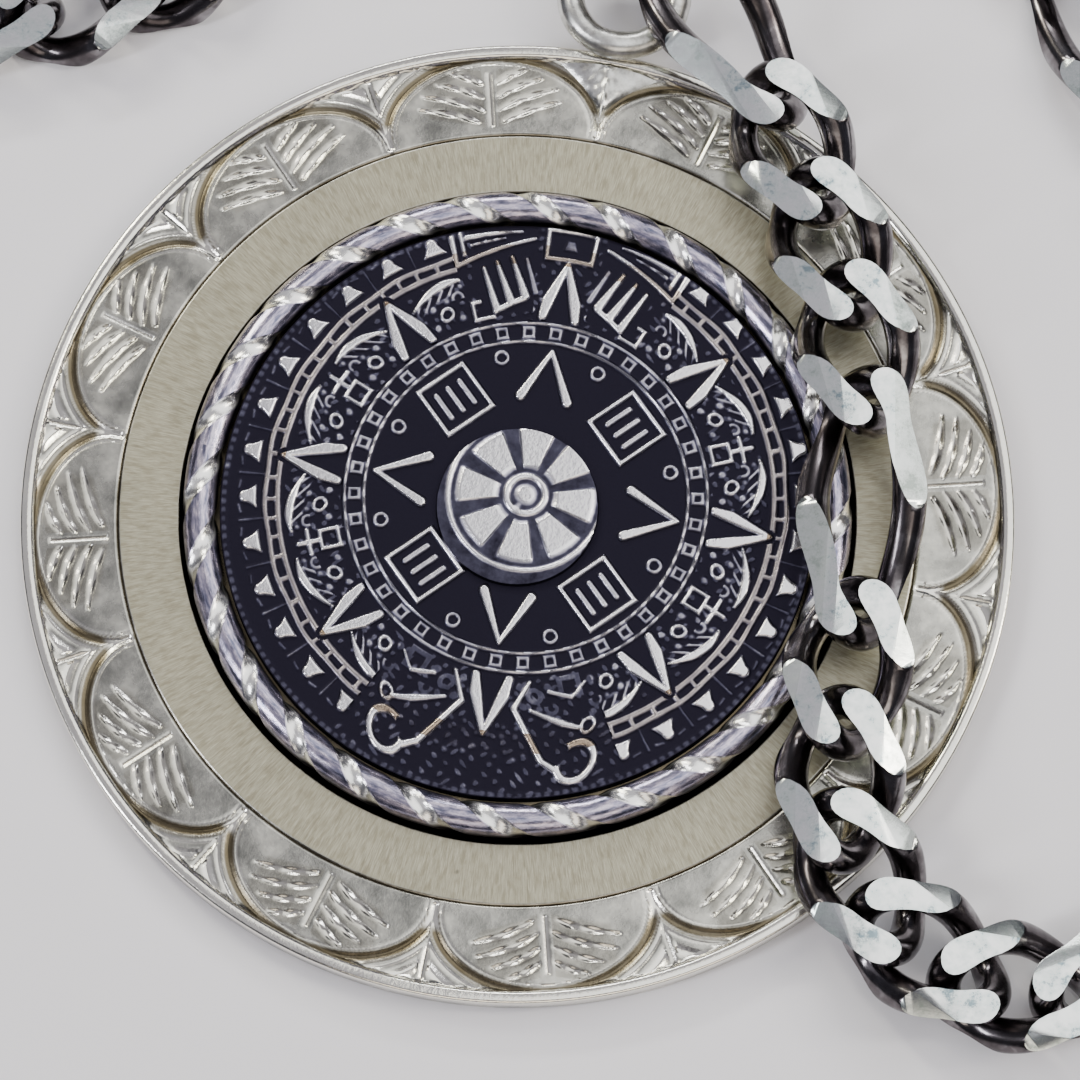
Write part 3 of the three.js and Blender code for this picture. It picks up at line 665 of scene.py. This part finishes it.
def curb_link(name, pitch, seed):
    """A link about its own middle, ground flat above and below, then on its sloping shoulders."""
    chance = random.Random(seed)
    is_long = pitch == LONG_PITCH
    length = pitch + 2 * WIRE + PLAY
    bend = (LINK_W - WIRE) / 2
    wire_r = DRAWN_THIN * WIRE / 2
    side, arc = length - LINK_W, math.pi * bend
    whole = 2 * (side + arc)
    steps, sides = LONG_STEPS if is_long else SHORT_STEPS, WIRE_SIDES
    bm = bmesh.new()
    rings = []
    for i in range(steps):
        travelled = (i / steps * whole + side / 2) % whole
        half = 1 if travelled < side + arc else -1
        along = travelled % (side + arc)
        turn = max(0.0, along - side) / bend
        x = half * (min(along, side) - side / 2 + bend * math.sin(turn))
        y = half * bend * math.cos(turn)
        ring = []
        for j in range(sides):
            a = 2 * math.pi * j / sides
            off = wire_r * math.cos(a)
            px, py = x + half * math.sin(turn) * off, y + half * math.cos(turn) * off
            pz = -wire_r * math.sin(a)
            share = max(-1, min(1, px / (length / 2 - WIRE / 2)))
            twist = LINK_TWIST * math.sin(math.pi / 2 * share)
            ring.append(bm.verts.new((px, py * math.cos(twist) - pz * math.sin(twist),
                                      py * math.sin(twist) + pz * math.cos(twist))))
        rings.append(ring)
    for i in range(steps):
        a, b = rings[i], rings[(i + 1) % steps]
        for j in range(sides):
            k = (j + 1) % sides
            bm.faces.new((a[j], b[j], b[k], a[k]))
    shoulder_far = bend * math.sin(math.radians(SHOULDER_TILT)) + WIRE / 2
    shoulder_far += LONG_SHOULDER if is_long else SHORT_SHOULDER
    laps = []
    for tilt, far, finish in ((0.0, FLAT_HALF - chance.uniform(0.0, 0.03), 1),
                              (FLAT_LAP_TILT, FLAT_LAP_FAR, 1), (SHOULDER_TILT, shoulder_far, 2)):
        ny, nz = math.sin(math.radians(tilt)), math.cos(math.radians(tilt))
        ways = (1, -1) if tilt else (0,)
        laps += [(0, way * ny, sign * nz, far, finish) for sign in (1, -1) for way in ways]
    for nx, ny, nz, far, finish in laps:
        nx += chance.uniform(-LAP_WOBBLE, LAP_WOBBLE)
        ny += chance.uniform(-LAP_WOBBLE, LAP_WOBBLE)
        normal = Vector((nx, ny, nz)).normalized()
        cut = bmesh.ops.bisect_plane(bm, geom=bm.verts[:] + bm.edges[:] + bm.faces[:], dist=1e-5,
                                     plane_co=normal * far, plane_no=normal, clear_outer=True)
        rim = [e for e in cut["geom_cut"] if isinstance(e, bmesh.types.BMEdge)]
        for face in bmesh.ops.edgeloop_fill(bm, edges=rim)["faces"]:
            face.material_index = finish
    rim = [e for e in bm.edges if len(e.link_faces) == 2
           and e.link_faces[0].material_index != e.link_faces[1].material_index]
    bmesh.ops.bevel(bm, geom=rim, offset=RIM_BEVEL, segments=2, affect="EDGES", clamp_overlap=True)
    bmesh.ops.triangulate(bm, faces=[f for f in bm.faces if len(f.verts) > 4])
    bmesh.ops.recalc_face_normals(bm, faces=bm.faces)
    mesh = bpy.data.meshes.new(name)
    bm.to_mesh(mesh)
    bm.free()
    return mesh


# Polished sterling: the round sides are a little dull and warm.
polished, shader = shaded("polished_sterling_silver", roughness=0.2)
place = node(polished, "TexCoord").outputs["Object"]
clouds = node(polished, "TexNoise", links={"Vector": place},
              Scale=300.0, Detail=4.0, Roughness=0.6).outputs["Fac"]
metal_colour = colour_ramp(polished, clouds, [(0.32, "#332e30"), (0.5, "#5f5a5c"), (0.7, "#a3a0a2")])
polished.node_tree.links.new(metal_colour, shader.inputs["Base Color"])
rough = node(polished, "MapRange", links={"Value": clouds}, i1=0.3, i2=0.7, i3=0.26, i4=0.13).outputs[0]
polished.node_tree.links.new(rough, shader.inputs["Roughness"])
rub = node(polished, "TexNoise", links={"Vector": place}, Scale=1500.0, Detail=2.0).outputs["Fac"]
bump = node(polished, "Bump", links={"Height": rub}, Strength=0.08, Distance=0.00006)
polished.node_tree.links.new(bump.outputs["Normal"], shader.inputs["Normal"])

# Diamond-lapped sterling: flat mirror with a trace of the lap's lines and of fine handling marks.
lapped, shader = shaded("lapped_sterling_silver", roughness=0.16)
place = node(lapped, "TexCoord").outputs["Object"]
lap_lines = node(lapped, "Mapping", links={"Vector": place},
                 Scale=(300, 2600, 900), Rotation=(0, 0, 0.6)).outputs[0]
marks = node(lapped, "TexNoise", links={"Vector": lap_lines},
             Scale=1.0, Detail=4.0, Roughness=0.6).outputs["Fac"]
haze = node(lapped, "TexNoise", links={"Vector": place},
            Scale=640.0, Detail=6.0, Roughness=0.75).outputs["Fac"]
metal_colour = colour_ramp(lapped, haze, [(0.36, "#8fa3aa"), (0.44, "#dde6e3"), (0.58, "#fafcf9")])
lapped.node_tree.links.new(metal_colour, shader.inputs["Base Color"])
rough = node(lapped, "MapRange", links={"Value": haze}, i1=0.3, i2=0.7, i3=0.26, i4=0.12).outputs[0]
lapped.node_tree.links.new(rough, shader.inputs["Roughness"])
height = blend_colour(lapped, 0.4, marks, haze)
bump = node(lapped, "Bump", links={"Height": height}, Strength=0.1, Distance=0.00005)
lapped.node_tree.links.new(bump.outputs["Normal"], shader.inputs["Normal"])

# The lapped shoulders get a copy of the lapped finish painted a little greyer, as painted shade on the tilted
# facets.
shaded_shoulder_lap = lapped.copy()
shaded_shoulder_lap.name = "lapped_shoulder_painted_shade_sterling_silver"
elements = [n for n in shaded_shoulder_lap.node_tree.nodes if n.type == "VALTORGB"][0].color_ramp.elements
for element, hex_colour in zip(elements, ("#a7b2ac", "#ccd4cf", "#e6ebe7")):
    element.color = linear(hex_colour)

link_nodes = sorted(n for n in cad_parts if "_link_" in n)
for seed, name in enumerate(link_nodes):
    middle, x, y, z = lying(name)
    mesh = curb_link("lapped_" + name, LONG_PITCH if name.startswith("long") else SHORT_PITCH, seed)
    seat = Matrix((x, y, z)).transposed().to_4x4()
    seat.translation = middle
    mesh.transform(Matrix.Scale(MM, 4) @ seat)
    mesh.shade_smooth()
    mesh.set_sharp_from_angle(angle=math.radians(38))
    for material in (polished, lapped, shaded_shoulder_lap):
        mesh.materials.append(material)
    link = bpy.data.objects.new("lapped_" + name, mesh)
    bpy.context.scene.collection.objects.link(link)
    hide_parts(name)
    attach(link, name)

# ---- jump rings ---------------------------------------------------------------------------------
# One round ring of 1 mm wire hangs the chain on the bail, another holds the snap's eye. Their ends
# are soldered.
for name in ("bail_jump_ring", "snap_jump_ring"):
    middle, x, y, z = lying(name)
    corners = np.array([v.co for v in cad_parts[name].data.vertices], float) / MM - np.array(middle)
    flat = np.linalg.norm(corners - np.outer(corners @ np.array(z), np.array(z)), axis=1)
    wire_r = float(flat.max() - flat.min()) / 2
    ring = wire_ring("soldered_" + name, middle, x, y, float(flat.max()) - wire_r, wire_r)
    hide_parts(name)
    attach(ring, name)
    ring.data.materials.append(polished)

# ---- swivel snap --------------------------------------------------------------------------------
# A cast silver snap for the watch's bow: a turned barrel spun over the stem's head, a bent hook, and
# a gate on a steel pin. The cast pieces keep their shape and are given the soft polish.
for name in ("swivel_eye", "snap_body", "snap_gate"):
    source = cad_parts[name]
    copy = bpy.data.objects.new("cast_" + name, source.data.copy())
    bpy.context.scene.collection.objects.link(copy)
    bm = bmesh.new()
    bm.from_mesh(copy.data)
    bmesh.ops.remove_doubles(bm, verts=bm.verts, dist=1e-6)
    bm.to_mesh(copy.data)
    bm.free()
    copy.data.shade_smooth()
    copy.data.set_sharp_from_angle(angle=math.radians(40))
    copy.data.materials.clear()
    copy.data.materials.append(cast)
    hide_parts(name)
    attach(copy, name)

# Drawn spring steel: grey wire with fine draw lines.
steel, shader = shaded("drawn_spring_steel", roughness=0.3)
place = node(steel, "TexCoord").outputs["Object"]
drawn = node(steel, "Mapping", links={"Vector": place}, Scale=(4000, 4000, 300)).outputs[0]
lines = node(steel, "TexNoise", links={"Vector": drawn}, Scale=1.0, Detail=3.0).outputs["Fac"]
metal_colour = colour_ramp(steel, lines, [(0.3, "#6d7175"), (0.7, "#a9adb1")])
steel.node_tree.links.new(metal_colour, shader.inputs["Base Color"])
bump = node(steel, "Bump", links={"Height": lines}, Strength=0.1, Distance=0.00003)
steel.node_tree.links.new(bump.outputs["Normal"], shader.inputs["Normal"])
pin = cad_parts["gate_pin"]
pin.data.materials.clear()
pin.data.materials.append(steel)

# ---- floor, light and camera --------------------------------------------------------------------
# The piece lies on a plain pale table under three softboxes, the largest standing where the ground
# flats throw it back to the camera, and four low strips that catch the edges and the cuts.
FLOOR_HALF, FLOOR_Z = 3, -0.0001
floor_mesh = bpy.data.meshes.new("floor")
corners = [(x * FLOOR_HALF, y * FLOOR_HALF, FLOOR_Z) for x, y in ((-1, -1), (1, -1), (1, 1), (-1, 1))]
floor_mesh.from_pydata(corners, [], [(0, 1, 2, 3)])
floor = bpy.data.objects.new("floor", floor_mesh)
bpy.context.scene.collection.objects.link(floor)
pale, shader = shaded("pale_table", metallic=0.0, roughness=0.8)
shader.inputs["Base Color"].default_value = linear("#edebef")
floor.data.materials.append(pale)

VIEW_TURN, VIEW_TILT, VIEW_FAR = math.radians(11.3), math.radians(15.188), 0.3
about = Matrix.Rotation(VIEW_TURN, 4, "Z")


def lamp(name, place, size, power, colour="#ffffff", target=(0, 0, 0)):
    """A soft rectangular lamp, placed and aimed in axes turned with the camera."""
    light = bpy.data.lights.new(name, "AREA")
    light.shape = "RECTANGLE"
    light.size, light.size_y = size
    light.energy = power
    light.color = linear(colour)[:3]
    holder = bpy.data.objects.new(name, light)
    bpy.context.scene.collection.objects.link(holder)
    holder.location = about @ Vector(place)
    holder.rotation_euler = (about @ Vector(target) - holder.location).to_track_quat("-Z", "Y").to_euler()
    return holder


lamp("overhead_softbox", (0.52, 0.2, 0.72), (1.0, 1.1), 6.8, target=(0.52, 0.2, 0))
lamp("left_softbox", (-0.52, 0.2, 0.72), (1.0, 1.1), 1.4, "#f8f5ff", target=(-0.52, 0.2, 0))
lamp("near_softbox", (0.1, -0.75, 0.6), (0.9, 0.4), 2.4, "#fff4e6")
lamp("left_strip", (-0.34, 0.42, 0.42), (0.06, 0.34), 1.7, "#fffbe9")
lamp("right_strip", (0.46, 0.02, 0.36), (0.05, 0.3), 0.9, "#fff6ea")
lamp("far_strip", (-0.08, 0.62, 0.4), (0.34, 0.06), 1.6)
lamp("low_left_strip", (-0.42, -0.16, 0.4), (0.06, 0.26), 1.3, "#f6f8ff")
world = bpy.data.worlds.new("room")
bpy.context.scene.world = world
world.use_nodes = True
world.node_tree.nodes["Background"].inputs["Color"].default_value = linear("#55555f")
world.node_tree.nodes["Background"].inputs["Strength"].default_value = 0.8

camera_data = bpy.data.cameras.new("camera")
camera_data.sensor_width = 36.0
camera_data.lens = 147.86
camera_data.clip_start, camera_data.clip_end = 0.01, 10.0
camera = bpy.data.objects.new("camera", camera_data)
bpy.context.scene.collection.objects.link(camera)
camera_back, camera_up = VIEW_FAR * math.sin(VIEW_TILT), VIEW_FAR * math.cos(VIEW_TILT)
camera.location = about @ Vector((0.001517, -0.001558 - camera_back, camera_up))
camera.rotation_euler = (VIEW_TILT, 0.0, VIEW_TURN)
bpy.context.scene.camera = camera
